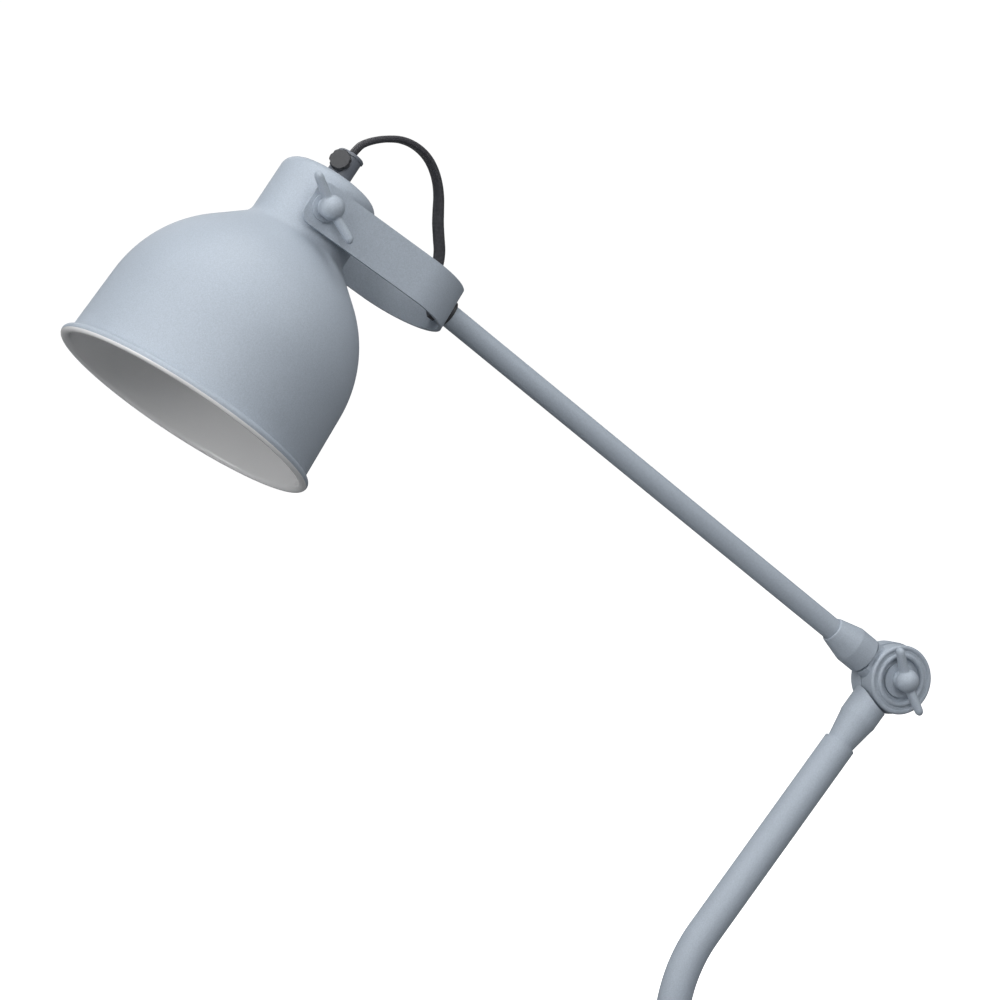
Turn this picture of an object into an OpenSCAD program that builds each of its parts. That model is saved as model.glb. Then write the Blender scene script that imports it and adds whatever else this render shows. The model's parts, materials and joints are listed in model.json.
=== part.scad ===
// Architect desk lamp: bell shade in a strap yoke, straight arm, friction elbow, bent stem, round base.
// Frame: origin at the centre of the base's underside, +Z up. The arms lie in the XZ plane, the head
// points towards -X, every joint of the arms turns about Y, and the elbow's wing nut is on the -Y side.

/* [Stem] */
// Outer diameter of the stem tube
stem_d = 19; // [16:0.5:22]
// Wall thickness of the stem tube
stem_wall = 1.5; // [1:0.1:2]
// Lean of the upper stem away from the vertical, in degrees
stem_lean = 40.6; // [30:0.1:50]
// Centreline radius of the stem's bend
stem_bend_r = 85; // [60:1:110]
// Height of the bend's lower end
stem_rise = 94; // [70:1:150]
// Distance from the bend's upper end to the foot of the elbow
stem_run = 181; // [150:1:260]
// Distance of the elbow's axis from the stem's axis
elbow_offset = 2.6; // [0:0.1:4]

/* [Arm] */
// Outer diameter of the arm tube
arm_d = 12.7; // [11:0.1:14]
// Wall thickness of the arm tube
arm_wall = 1; // [0.8:0.1:1.2]
// Distance from the elbow's axis to the yoke's back
arm_length = 346; // [250:1:450]
// Angle of the arm above the horizontal, in degrees
arm_lift = 37; // [20:0.5:60]

/* [Elbow] */
// Radius of the front disc, which belongs to the arm
front_disc_r = 19.6; // [18:0.1:21]
// Radius of the rear disc, which belongs to the stem
rear_disc_r = 20.4; // [19:0.1:22]
// Thickness of each disc
disc_t = 11.2; // [9:0.1:12]
// Diameter of the ferrules on both sides of the elbow
ferrule_d = 22; // [20:0.5:24]

/* [Yoke] */
// Width of the yoke's strap
strap_w = 24; // [20:0.5:28]
// Thickness of the yoke's strap
strap_t = 2; // [1.5:0.1:3]
// Width over the outside of the yoke
yoke_w = 66; // [64:0.5:70]
// Distance from the yoke's back to the head's pivot
yoke_reach = 99.5; // [96:0.5:110]
// Angle of the yoke below the line of the arm, in degrees
yoke_set = 3.3; // [0:0.1:5]

/* [Shade] */
// Diameter over the rolled rim
shade_d = 150; // [140:1:160]
// Sheet thickness of the shade
shade_t = 1; // [0.8:0.1:1.2]
// Angle of the shade's axis above the horizontal, in degrees
shade_aim = 54.2; // [40:0.2:70]
// Outer diameter of the neck
neck_d = 56.4; // [55:0.2:57]
// Height of the neck's flat top above the rim's plane
neck_top = 144; // [142:1:148]
// Height of the head's pivot above the rim's plane
pivot_h = 122.5; // [120:0.5:125]
// Distance of the head's pivot from the shade's axis
pivot_off = 7.4; // [5:0.2:9]

/* [Base] */
// Diameter of the base
base_d = 190; // [160:1:220]
// Height of the base cover's top
base_h = 18; // [16:0.5:24]

/* [Hidden] */
$fn = 96;

// Radial play of a running fit and of a seated fit
fit = 0.05;
// Gap between faces of parts that turn past each other
gap = 0.3;
// Length that runs well past any part, for cuts
past = 300;

grey = [0.60, 0.63, 0.66];
dark = [0.12, 0.12, 0.13];

// Elbow centre, from the stem's bend and run
elbow_x = stem_bend_r * (1 - cos(stem_lean)) + stem_run * sin(stem_lean) + elbow_offset * cos(stem_lean);
elbow_z = stem_rise + stem_bend_r * sin(stem_lean) + stem_run * cos(stem_lean)
  - elbow_offset * sin(stem_lean);
// Directions in the XZ plane, measured from +X towards +Z
arm_dir = 180 - arm_lift;
yoke_dir = 180 - arm_lift + yoke_set;
stem_down = 270 - stem_lean;
// Foot of the elbow on the stem's axis
foot_x = elbow_x - elbow_offset * cos(stem_lean);
foot_z = elbow_z + elbow_offset * sin(stem_lean);
// Centre of the yoke's back
back_x = elbow_x + arm_length * cos(arm_dir);
back_z = elbow_z + arm_length * sin(arm_dir);
// Pivot of the head
pivot_x = back_x + yoke_reach * cos(yoke_dir);
pivot_z = back_z + yoke_reach * sin(yoke_dir);
// Centre of the shade's rim
rim_x = pivot_x - pivot_h * cos(shade_aim) + pivot_off * sin(shade_aim);
rim_z = pivot_z - pivot_h * sin(shade_aim) - pivot_off * cos(shade_aim);

stem_r = stem_d / 2;
stem_bore_r = stem_r - stem_wall;
arm_r = arm_d / 2;
arm_bore_r = arm_r - arm_wall;
ferrule_r = ferrule_d / 2;
neck_r = neck_d / 2;
yoke_r = yoke_w / 2;
leg_in = yoke_r - strap_t;
bolt_r = 4;
stud_r = 3;
nipple_r = 5;
nipple_bore_r = 3.4;
lead_r = 2.4;

// Places along the arm and stem, measured from the elbow's axis
fitting_start = rear_disc_r + 0.6;
ferrule_start = 22.6;
arm_ferrule_mid = 34;
arm_ferrule_end = 49;
arm_tube_start = 30;
arm_spigot_end = 60;
stem_ferrule_mid = 31;
stem_mouth = 48.8;
stem_spigot_end = 75;

// Stack on the elbow's bolt, measured from the middle of the elbow towards the wing nut
recess_r = 12.4;
recess_floor = disc_t - 3;
cup_t = 1.6;
elbow_seat = recess_floor + 0.05 + cup_t + 0.05;
// Stack on each pivot stud, measured from the middle of the lamp
leg_gap = 0.1;
pivot_washer_t = 1.2;
head_seat = yoke_r + 0.05 + pivot_washer_t + 0.05;

// Shade profile: rolled rim, wall, shoulder arc, cone, fillet, neck and top corner. The bell is spun over
// the foot of the neck at the height of the cone's top.
bead_r = 2.5;
bead_z = 0.8;
wall_r = 71.4;
wall_lean = 2.5;
shoulder_z = 41;
shoulder_r = 72;
cone_lean = 49;
fillet_r = 8;
corner_r = 7;
wall_top_r = wall_r - shoulder_z * tan(wall_lean);
shoulder_cx = wall_top_r - shoulder_r * cos(wall_lean);
shoulder_cz = shoulder_z - shoulder_r * sin(wall_lean);
cone_top_r = neck_r + fillet_r * (1 - cos(cone_lean));
cone_foot_r = shoulder_cx + shoulder_r * cos(cone_lean);
cone_foot_z = shoulder_cz + shoulder_r * sin(cone_lean);
cone_top_z = cone_foot_z + (cone_foot_r - cone_top_r) / tan(cone_lean);
fillet_cz = cone_top_z + fillet_r * sin(cone_lean);
seam_z = cone_top_z - 0.05;

// Cord grip on the neck's top
grip_r = 6.9;
grip_h = 17.5;
grip_lip = 2;
grip_screw_h = 9.8;
grip_top = neck_top + grip_h;

// Lampholder and bulb, as heights above the rim's plane
holder_r = 19.5;
holder_top = neck_top - shade_t - 0.2;
holder_mid = 121;
holder_low = 92;
shell_r = 13.2;
bulb_r = 22.5;
bulb_z = 61.5;
bulb_cap_low = 93;
bulb_cap_top = 115;

// Wing nut: foot, ball hub, and wings with their reach, lift and thickness
foot_r = 5.4;
ball_r = 6.7;
ball_z = 7.2;
wing_reach = 17.6;
wing_lift = 9.4;
wing_t = 4.8;
elbow_wing_turn = 20;
head_wing_turn = 27;
// Turn of the grip's thumb screw round the grip, towards the near side
grip_screw_turn = 50;

// Base
pad_t = 2;
cover_t = 1.5;
cover_corner = 6;
tube_seat = base_h + 1;
weight_low = pad_t + 0.2;
bush_z = 7.6;

// Flat flex: width across the two cores and thickness
flex_w = 6.3;
flex_t = 3.9;
// Centreline of the flex in the XZ plane, from the grip's top face, measured from the elbow's axis;
// the third value is the twist of the flat section in degrees
FLEX = [
  [-328.2, 293.3, 0], [-324.8, 296.2, 0], [-320.2, 298.0, 0], [-314.4, 299.2, 0], [-308.4, 299.6, 0], [-302.4, 299.2, -2],
  [-296.2, 297.2, -4], [-290.8, 293.8, -7], [-286.4, 289.2, -10], [-283.2, 283.4, -13], [-281.2, 276.8, -17],
  [-280.4, 269.8, -26], [-280.6, 262.6, -42], [-280.8, 255.4, -56], [-280.4, 248.0, -64], [-280.0, 240.6, -70],
  [-281.2, 233.6, -76], [-284.6, 227.8, -80], [-288.4, 222.6, -84]
];

// ---------- helpers ----------

// Puts children at a point of the XZ plane, with their +Z along a direction of that plane
module along(x, z, dir) {
  translate([x, 0, z]) rotate([0, 90 - dir, 0]) children();
}

module at_elbow(dir) {
  along(elbow_x, elbow_z, dir) children();
}

module on_stem() {
  along(foot_x, foot_z, stem_down) children();
}

module on_yoke() {
  along(back_x, back_z, yoke_dir) children();
}

module on_shade() {
  along(rim_x, rim_z, shade_aim) children();
}

// Puts children on a joint's axis with their +Z outwards: side -1 is the near side, side 1 the far side
module outward(x, z, side) {
  translate([x, 0, z]) rotate([side > 0 ? -90 : 90, 0, 0]) children();
}

module ring(r_out, r_in, z0, z1) {
  translate([0, 0, z0]) difference() {
    cylinder(r = r_out, h = z1 - z0);
    translate([0, 0, -1]) cylinder(r = r_in, h = z1 - z0 + 2);
  }
}

module hex(across, r_in, z0, z1) {
  translate([0, 0, z0]) difference() {
    cylinder(r = across / sqrt(3), h = z1 - z0, $fn = 6);
    translate([0, 0, -1]) cylinder(r = r_in, h = z1 - z0 + 2);
  }
}

// Revolved solid from an outline of [radius, height] points
module turned(points) {
  rotate_extrude() polygon(points);
}

// Part of a flat ring, from angle a0 to a1
module arc_band(cx, cz, r_out, r_in, a0, a1) {
  reach = 3 * r_out;
  mid = (a0 + a1) / 2;
  translate([cx, cz]) intersection() {
    difference() {
      circle(r = r_out);
      circle(r = r_in);
    }
    polygon([
      [0, 0], [reach * cos(a0), reach * sin(a0)], [reach * cos(mid), reach * sin(mid)],
      [reach * cos(a1), reach * sin(a1)]
    ]);
  }
}

// Straight piece of sheet of thickness t on the left of the line from a to b. It is a hair thinner than
// the arcs at its ends and runs a little way into them, so that the pieces join into one.
module strip(a, b, t) {
  hair = 0.02;
  run = 0.3;
  u = (b - a) / norm(b - a);
  side = [-u[1], u[0]];
  p = a - run * u + hair * side;
  q = b + run * u + hair * side;
  polygon([p, q, q + (t - 2 * hair) * side, p + (t - 2 * hair) * side]);
}

// Bar with round ends of two radii, as a flat shape
module tapered_bar(a, ra, b, rb) {
  d = norm(b - a);
  base = atan2(b[1] - a[1], b[0] - a[0]);
  tilt = acos((ra - rb) / d);
  translate(a) circle(r = ra);
  translate(b) circle(r = rb);
  polygon([
    for (s = [1, -1], k = [0, 1])
      let (p = (k == 0) == (s > 0) ? a : b, r = (k == 0) == (s > 0) ? ra : rb)
        p + r * [cos(base + s * tilt), sin(base + s * tilt)]
  ]);
}

// Wing nut with its seat at z = 0 and its ball towards +Z, wings along X
module wing_nut(bore_r) {
  difference() {
    union() {
      cylinder(r = foot_r, h = ball_z);
      translate([0, 0, ball_z]) sphere(r = ball_r);
      for (s = [0, 180])
        rotate([90, 0, s])
          translate([0, 0, -wing_t / 2])
            linear_extrude(wing_t)
              tapered_bar([4.6, ball_z - 0.6], 4, [wing_reach, wing_lift], 3.2);
    }
    translate([0, 0, -1]) cylinder(r = bore_r, h = 10.5);
  }
}

// ---------- base ----------

module base_cover() {
  r = base_d / 2;
  color(grey) difference() {
    rotate_extrude() {
      translate([5.2, base_h - cover_t]) square([r - cover_corner - 5.2, cover_t]);
      arc_band(r - cover_corner, base_h - cover_corner, cover_corner, cover_corner - cover_t, 0, 90);
      translate([r - cover_t, 0.8]) square([cover_t, base_h - cover_corner - 0.8]);
    }
    translate([r - 10, 0, bush_z]) rotate([0, 90, 0]) cylinder(r = 4, h = 20);
  }
}

module base_weight() {
  r = base_d / 2 - cover_t - 2;
  color(dark) difference() {
    translate([0, 0, weight_low]) cylinder(r = r, h = base_h - cover_t - 0.1 - weight_low);
    translate([0, 0, weight_low - 1]) cylinder(r = 14, h = 8);
    cylinder(r = nipple_r + 0.2, h = past);
    translate([0, -4.5, weight_low - 1]) cube([r + 1, 9, 11.5]);
    rotate_extrude() {
      translate([r, base_h - cover_t - 6]) square([4, 8]);
    }
    rotate_extrude() {
      translate([r - 4.5, base_h - cover_t - 4.5]) difference() {
        square([8, 8]);
        circle(r = 4.5);
      }
    }
  }
}

module base_pad() {
  color(dark) ring(base_d / 2 - 4, 15, 0, pad_t);
}

module base_bush() {
  r = base_d / 2;
  color(dark) translate([r, 0, bush_z]) rotate([0, 90, 0]) difference() {
    union() {
      translate([0, 0, -4]) cylinder(r = 3.95, h = 5);
      translate([0, 0, 0.3]) cylinder(r = 5.4, h = 1.7);
      translate([0, 0, -3.6]) cylinder(r1 = 4.6, r2 = 4.1, h = 1.8);
    }
    translate([0, 0, -10]) cylinder(r = 2.7, h = 20);
  }
}

module stem_collar() {
  color(grey) difference() {
    turned([
      [0, base_h + 0.05], [16, base_h + 0.05], [16, base_h + 2.6], [15.2, base_h + 3.6], [13.2, base_h + 4.4],
      [12.6, base_h + 12.4], [11.8, base_h + 13.2], [0, base_h + 13.2]
    ]);
    cylinder(r = nipple_r + 0.2, h = past);
    translate([0, 0, tube_seat]) cylinder(r = stem_r + fit, h = past);
  }
}

module stem_plug() {
  color("silver") difference() {
    union() {
      translate([0, 0, tube_seat + 0.05]) cylinder(r = stem_bore_r - 0.12, h = 25);
      translate([0, 0, 2.6]) cylinder(r = nipple_r, h = tube_seat);
    }
    cylinder(r = nipple_bore_r, h = past);
  }
}

module stem_washer() {
  color("silver") ring(12, nipple_r + 0.2, 7.9, 9.1);
}

module stem_nut() {
  color("silver") hex(17, nipple_r + fit, 3, 7.8);
}

// ---------- stem ----------

// Follows the stem's centreline with a round section. The straight lengths are a hair thinner than
// the bend and run a little way into it, so that the pieces join into one.
module stem_sweep(r, z0, end) {
  hair = 0.03;
  run = 0.5;
  translate([0, 0, z0]) cylinder(r = r - hair, h = stem_rise - z0 + run);
  translate([stem_bend_r, 0, stem_rise]) {
    rotate([90, 0, 0])
      rotate_extrude(start = 180 - stem_lean, angle = stem_lean)
        translate([stem_bend_r, 0]) circle(r = r);
    rotate([0, stem_lean, 0]) translate([-stem_bend_r, 0, -run])
      cylinder(r = r - hair, h = stem_run - end + run);
  }
}

module stem_tube() {
  color(grey) difference() {
    stem_sweep(stem_r, tube_seat, stem_mouth);
    stem_sweep(stem_bore_r, tube_seat - 1, stem_mouth - 1);
  }
}

module stem_lead() {
  color(dark) stem_sweep(lead_r, tube_seat, stem_spigot_end - 6);
}

module stem_fitting() {
  color(grey) difference() {
    union() {
      outward(elbow_x, elbow_z, 1) rotate_extrude() {
        translate([0, gap]) square([rear_disc_r, disc_t - gap - 1.2]);
        translate([0, disc_t - 2]) square([rear_disc_r - 1.2, 2]);
        translate([rear_disc_r - 1.2, disc_t - 1.2]) circle(r = 1.2);
      }
      on_stem() turned([
        [0, 0], [ferrule_r, 0], [ferrule_r, stem_ferrule_mid], [ferrule_r - 0.5, stem_ferrule_mid + 2.2],
        [8.1, stem_mouth - 1], [8.1, stem_mouth - 0.1], [stem_bore_r - 0.12, stem_mouth - 0.1],
        [stem_bore_r - 0.12, stem_spigot_end], [0, stem_spigot_end]
      ]);
    }
    // room for the front disc
    outward(elbow_x, elbow_z, -1) translate([0, 0, -gap]) cylinder(r = fitting_start, h = past);
    // the far side of the neck stays level with the disc
    outward(elbow_x, elbow_z, 1) translate([0, 0, disc_t]) cylinder(r = rear_disc_r, h = past);
    outward(elbow_x, elbow_z, 1) translate([0, 0, -1]) cylinder(r = bolt_r + fit, h = past);
    outward(elbow_x, elbow_z, 1) translate([-4.1, -4.1, disc_t - 4]) cube([8.2, 8.2, past]);
    on_stem() translate([0, 0, stem_ferrule_mid]) cylinder(r = 3.2, h = past);
  }
}

// ---------- elbow ----------

module elbow_bolt() {
  head_r = 8.2;
  color("silver") outward(elbow_x, elbow_z, 1) {
    translate([0, 0, -elbow_seat - 8.4]) cylinder(r = bolt_r, h = elbow_seat + 8.4 + disc_t + 1);
    translate([-4, -4, disc_t - 3.8]) cube([8, 8, 4.4]);
    turned([
      [0, disc_t + 0.1], [head_r, disc_t + 0.1], [head_r, disc_t + 1.3], [head_r - 1.4, disc_t + 3],
      [head_r - 3.8, disc_t + 4.2], [0, disc_t + 4.6]
    ]);
  }
}

module elbow_friction_washer() {
  color(dark) outward(elbow_x, elbow_z, -1) ring(17, bolt_r + fit, -gap + 0.05, gap - 0.05);
}

module elbow_cup_washer() {
  color("silver") outward(elbow_x, elbow_z, -1)
    ring(10, bolt_r + fit, recess_floor + 0.05, recess_floor + 0.05 + cup_t);
}

module arm_fitting() {
  color(grey) difference() {
    union() {
      // front disc: rounded edge, groove, raised ring and recess
      outward(elbow_x, elbow_z, -1) rotate_extrude() {
        difference() {
          translate([0, gap]) square([front_disc_r, disc_t - gap - 1.4]);
          translate([0, recess_floor]) square([recess_r, past]);
        }
        translate([recess_r, disc_t - 3]) square([front_disc_r - 1.4 - recess_r, 2.2]);
        translate([front_disc_r - 1.4, disc_t - 1.4]) circle(r = 1.4);
        translate([recess_r + 1.5, disc_t - 1.2]) circle(r = 1.5);
      }
      // half neck beside the rear disc
      intersection() {
        at_elbow(arm_dir) cylinder(r = ferrule_r - 0.3, h = fitting_start + 0.4);
        outward(elbow_x, elbow_z, -1) translate([-past / 2, -past / 2, gap]) cube([past, past, recess_floor - gap]);
      }
      // full collar, kept smaller than the ferrule so that a groove stays
      at_elbow(arm_dir) translate([0, 0, fitting_start]) cylinder(r = ferrule_r - 2.2, h = ferrule_start - fitting_start);
      at_elbow(arm_dir) translate([0, 0, ferrule_start - 0.5])
        cylinder(r = arm_bore_r - fit, h = arm_spigot_end - ferrule_start + 0.5);
    }
    outward(elbow_x, elbow_z, -1) translate([0, 0, recess_floor]) cylinder(r = recess_r, h = past);
    outward(elbow_x, elbow_z, -1) translate([0, 0, -1]) cylinder(r = bolt_r + fit, h = past);
    at_elbow(arm_dir) translate([0, 0, arm_tube_start]) cylinder(r = 3, h = past);
  }
}

module arm_ferrule() {
  color(grey) at_elbow(arm_dir) difference() {
    turned([
      [0, ferrule_start + 0.05], [ferrule_r - 0.4, ferrule_start + 0.05], [ferrule_r, ferrule_start + 0.5],
      [ferrule_r, arm_ferrule_mid], [ferrule_r - 0.4, arm_ferrule_mid + 1.8], [7.5, arm_ferrule_end - 0.8],
      [7, arm_ferrule_end], [0, arm_ferrule_end]
    ]);
    cylinder(r = arm_bore_r, h = past);
    translate([0, 0, arm_tube_start - 0.05]) cylinder(r = arm_r + fit, h = past);
  }
}

// ---------- arm ----------

module arm_tube() {
  color(grey) at_elbow(arm_dir) ring(arm_r, arm_bore_r, arm_tube_start, arm_length - 1.4);
}

module arm_lead() {
  color(dark) at_elbow(arm_dir)
    translate([0, 0, arm_spigot_end - 20]) cylinder(r = lead_r, h = arm_length + 5 - arm_spigot_end + 20);
}

module yoke_side() {
  r = 6;
  tip = yoke_reach + 9.5;
  translate([-strap_w / 2, -10]) square([strap_w, tip - r + 10]);
  translate([-strap_w / 2 + r, -10]) square([strap_w - 2 * r, tip + 10]);
  for (s = [-1, 1]) translate([s * (strap_w / 2 - r), tip - r]) circle(r = r);
}

module yoke_bend(r) {
  translate([0, yoke_r]) circle(r = r);
  translate([-r, yoke_r]) square([2 * r, past]);
}

module yoke() {
  color(grey) on_yoke() difference() {
    intersection() {
      rotate([90, 0, 0]) translate([0, 0, -past / 2]) linear_extrude(past) yoke_side();
      rotate([90, 0, 90]) translate([0, 0, -past / 2]) linear_extrude(past) difference() {
        yoke_bend(yoke_r);
        yoke_bend(leg_in);
      }
    }
    translate([0, 0, yoke_reach]) rotate([90, 0, 0]) translate([0, 0, -past / 2]) cylinder(r = stud_r + fit, h = past);
    translate([0, 0, -1]) cylinder(r = nipple_r + 0.3, h = 10);
  }
}

// Saddle between the tube's square end and the strap's round back
module yoke_washer() {
  color(dark) difference() {
    at_elbow(arm_dir) translate([0, 0, arm_length - 1.35]) cylinder(r = 8, h = 5);
    on_yoke() rotate([90, 0, 90]) translate([0, 0, -past / 2]) linear_extrude(past) yoke_bend(yoke_r + 0.02);
    at_elbow(arm_dir) cylinder(r = nipple_r + 0.1, h = past + arm_length);
  }
}

module arm_nipple() {
  color("silver") at_elbow(arm_dir) difference() {
    union() {
      translate([0, 0, arm_length - 22]) cylinder(r = nipple_r, h = 32);
      translate([0, 0, arm_length - 22]) cylinder(r = arm_bore_r - fit, h = 18);
    }
    cylinder(r = nipple_bore_r, h = past + arm_length);
  }
}

module yoke_nut() {
  color("silver") at_elbow(arm_dir) hex(14, nipple_r + fit, arm_length + 3.6, arm_length + 7.6);
}

module arm_bush() {
  low = arm_length + 5.2;
  color(dark) at_elbow(arm_dir) difference() {
    union() {
      translate([0, 0, low]) cylinder(r = nipple_bore_r - fit, h = 5);
      translate([0, 0, arm_length + 10.05]) cylinder(r = 4.8, h = 1.6);
    }
    translate([0, 0, low - 1]) cylinder(r = lead_r + 0.1, h = 1.8);
    translate([0, 0, low + 0.75]) cylinder(r = lead_r, h = 4);
  }
}

// ---------- head ----------

// Sheet of the bell and of the neck as flat profiles, [radius, height above the rim's plane]
module bell_sheet() {
  t = shade_t;
  translate([shade_d / 2 - bead_r, bead_z]) circle(r = bead_r);
  strip([wall_r, bead_z], [wall_top_r, shoulder_z], t);
  arc_band(shoulder_cx, shoulder_cz, shoulder_r, shoulder_r - t, wall_lean, cone_lean);
  difference() {
    strip([cone_foot_r, cone_foot_z], [cone_top_r, cone_top_z], t);
    translate([0, seam_z]) square([past, past]);
  }
}

module neck_sheet() {
  t = shade_t;
  difference() {
    arc_band(neck_r + fillet_r, fillet_cz, fillet_r + t, fillet_r, 180, 180 + cone_lean);
    translate([0, seam_z + 0.02 - past]) square([past, past]);
  }
  strip([neck_r, fillet_cz], [neck_r, neck_top - corner_r], t);
  arc_band(neck_r - corner_r, neck_top - corner_r, corner_r, corner_r - t, 0, 90);
  translate([nipple_r + 0.1, neck_top - t]) square([neck_r - corner_r - nipple_r - 0.1, t]);
}

module shade() {
  color(grey) on_shade() rotate_extrude($fn = 144) bell_sheet();
}

module shade_neck() {
  color(grey) difference() {
    on_shade() rotate_extrude($fn = 144) neck_sheet();
    for (s = [-1, 1]) outward(pivot_x, pivot_z, s) cylinder(r = stud_r + fit, h = past);
  }
}

module inside_neck(r) {
  on_shade() translate([0, 0, fillet_cz]) cylinder(r = r, h = neck_top - corner_r - fillet_cz);
}

module pivot_spacer(side) {
  color(grey) difference() {
    outward(pivot_x, pivot_z, side) ring(6, stud_r + fit, 20, leg_in - leg_gap);
    inside_neck(neck_r + 0.02);
  }
}

module pivot_stud(side) {
  color("silver") {
    outward(pivot_x, pivot_z, side) translate([0, 0, 21.5]) cylinder(r = stud_r, h = head_seat + 8.5 - 21.5);
    intersection() {
      outward(pivot_x, pivot_z, side) translate([0, 0, 21.5]) cylinder(r = 4.5, h = 8);
      inside_neck(neck_r - shade_t - 0.02);
    }
  }
}

module pivot_washer(side) {
  color("silver") outward(pivot_x, pivot_z, side)
    ring(7.5, stud_r + fit, yoke_r + 0.05, yoke_r + 0.05 + pivot_washer_t);
}

module entry_nipple() {
  color("silver") on_shade() ring(nipple_r, nipple_bore_r, neck_top - 12, neck_top + 7);
}

module entry_nut() {
  color("silver") on_shade() hex(14, nipple_r + fit, holder_top - 6.8, holder_top - 3);
}

module cord_grip() {
  color(dark) on_shade() difference() {
    turned([
      [0, neck_top + 0.02], [grip_r, neck_top + 0.02], [grip_r, grip_top - grip_lip], [grip_r + 0.6, grip_top - grip_lip + 0.4],
      [grip_r + 0.6, grip_top - 0.6], [grip_r, grip_top], [0, grip_top]
    ]);
    translate([0, 0, neck_top - 1]) cylinder(r = nipple_r + fit, h = 8.2);
    translate([0, 0, neck_top]) cylinder(r = 3.6, h = past);
    rotate([0, 0, grip_screw_turn]) translate([0, 0, neck_top + grip_screw_h]) rotate([0, -90, 0])
      cylinder(r = 1.5 + fit, h = past);
  }
}

module grip_screw() {
  lobes = 7;
  color(dark) on_shade() rotate([0, 0, grip_screw_turn]) translate([0, 0, neck_top + grip_screw_h]) rotate([0, -90, 0]) {
    translate([0, 0, 3.8]) cylinder(r = 1.5, h = 5);
    difference() {
      turned([
        [0, grip_r + 0.3], [3.4, grip_r + 0.3], [3.4, grip_r + 1.1], [5.2, grip_r + 1.4], [5.8, grip_r + 2],
        [5.8, grip_r + 4.4], [5.2, grip_r + 5], [0, grip_r + 5]
      ]);
      for (k = [0 : lobes - 1])
        rotate([0, 0, (k + 0.5) * 360 / lobes]) translate([6.6, 0, 0]) cylinder(r = 1.5, h = 20, $fn = 24);
    }
  }
}

module holder_cap() {
  color("white") on_shade() difference() {
    turned([
      [0, holder_mid], [holder_r, holder_mid], [holder_r, holder_top - 6], [holder_r - 6, holder_top], [0, holder_top]
    ]);
    turned([
      [0, holder_mid - 1], [holder_r - 2, holder_mid - 1], [holder_r - 2, holder_top - 7], [holder_r - 6.5, holder_top - 2.5],
      [0, holder_top - 2.5]
    ]);
    cylinder(r = nipple_r + fit, h = past);
  }
}

module holder_skirt() {
  color("white") on_shade() difference() {
    turned([
      [0, holder_low], [holder_r - 0.8, holder_low], [holder_r, holder_low + 1], [holder_r, holder_mid - 0.05],
      [holder_r - 2.1, holder_mid - 0.05], [holder_r - 2.1, holder_mid + 5], [0, holder_mid + 5]
    ]);
    translate([0, 0, holder_low - 1]) cylinder(r = shell_r + 0.7, h = 26);
    translate([0, 0, holder_low + 24.5]) cylinder(r = holder_r - 4, h = past);
  }
}

module holder_insert() {
  color("white") on_shade() difference() {
    translate([0, 0, holder_low + 24.6]) cylinder(r = holder_r - 4.1, h = 6);
    for (s = [-1, 1]) translate([0, s * 8.5, holder_low]) cylinder(r = 1.6, h = past);
  }
}

module screw_shell() {
  color("gold") on_shade() ring(shell_r + 0.5, shell_r, holder_low + 1, holder_low + 24);
}

module centre_contact() {
  color("gold") on_shade() translate([-2.5, -4, holder_low + 25.5 - 1.9]) cube([5, 8, 0.9]);
}

module terminal_screws() {
  color("gold") on_shade() for (s = [-1, 1]) translate([0, s * 8.5, holder_low + 25]) {
    cylinder(r = 1.5, h = 6);
    translate([0, 0, 5.7]) cylinder(r = 2.6, h = 2);
  }
}

module bulb_glass() {
  neck_top_z = bulb_cap_low + 3;
  cone_a = 38;
  meet_r = bulb_r * cos(cone_a);
  meet_z = bulb_z + bulb_r * sin(cone_a);
  t = 0.8;
  color("white") on_shade() rotate_extrude() {
    arc_band(0, bulb_z, bulb_r, bulb_r - t, -90, cone_a);
    polygon([
      [meet_r - 0.05, meet_z], [12.4, neck_top_z - 6], [12.4, neck_top_z], [12.4 - t, neck_top_z],
      [12.4 - t, neck_top_z - 6], [meet_r - t, meet_z - 2 * t], [meet_r - t * 0.4, meet_z - 2 * t]
    ]);
  }
}

module bulb_cap() {
  color("silver") on_shade() difference() {
    turned([
      [0, bulb_cap_low], [13, bulb_cap_low], [13, bulb_cap_top - 3], [8, bulb_cap_top], [0, bulb_cap_top]
    ]);
    translate([0, 0, bulb_cap_low - 1]) cylinder(r = 12.45, h = 5);
    translate([0, 0, bulb_cap_low - 1]) cylinder(r = 11.5, h = 17);
  }
}

module bulb_tip() {
  color("silver") on_shade() translate([0, 0, bulb_cap_top + 0.02])
    cylinder(r1 = 4.5, r2 = 3.2, h = 0.5);
}

// ---------- free flex ----------

// Start on the grip's top face and end on the bush's face, both straight out of the face
flex_exit = [
  rim_x + grip_top * cos(shade_aim) - elbow_x, rim_z + grip_top * sin(shade_aim) - elbow_z, 0
];
bush_face = arm_length + 11.7;
flex_end = [bush_face * cos(arm_dir), bush_face * sin(arm_dir), -84];
flex_points = concat([flex_exit], FLEX, [flex_end]);

// Smooth curve through the points: Catmull-Rom
function knot(p, k) = p[min(max(k, 0), len(p) - 1)];
function blend(a, b, c, d, t) =
  0.5 * (2 * b + (c - a) * t + (2 * a - 5 * b + 4 * c - d) * t * t + (3 * b - a - 3 * c + d) * t * t * t);
function smooth(p, steps) = concat(
  [
    for (k = [0 : len(p) - 2], s = [0 : steps - 1])
      blend(knot(p, k - 1), knot(p, k), knot(p, k + 1), knot(p, k + 2), s / steps)
  ],
  [p[len(p) - 1]]
);
function flat_dir(v) = [v[0], v[1]] / norm([v[0], v[1]]);
// Direction of travel at a ring; the ends leave their faces squarely
function heading(c, k) =
  k == 0 ? [cos(shade_aim), sin(shade_aim)]
  : k == len(c) - 1 ? [-cos(arm_dir), -sin(arm_dir)]
  : flat_dir(c[k + 1] - c[k - 1]);
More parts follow.
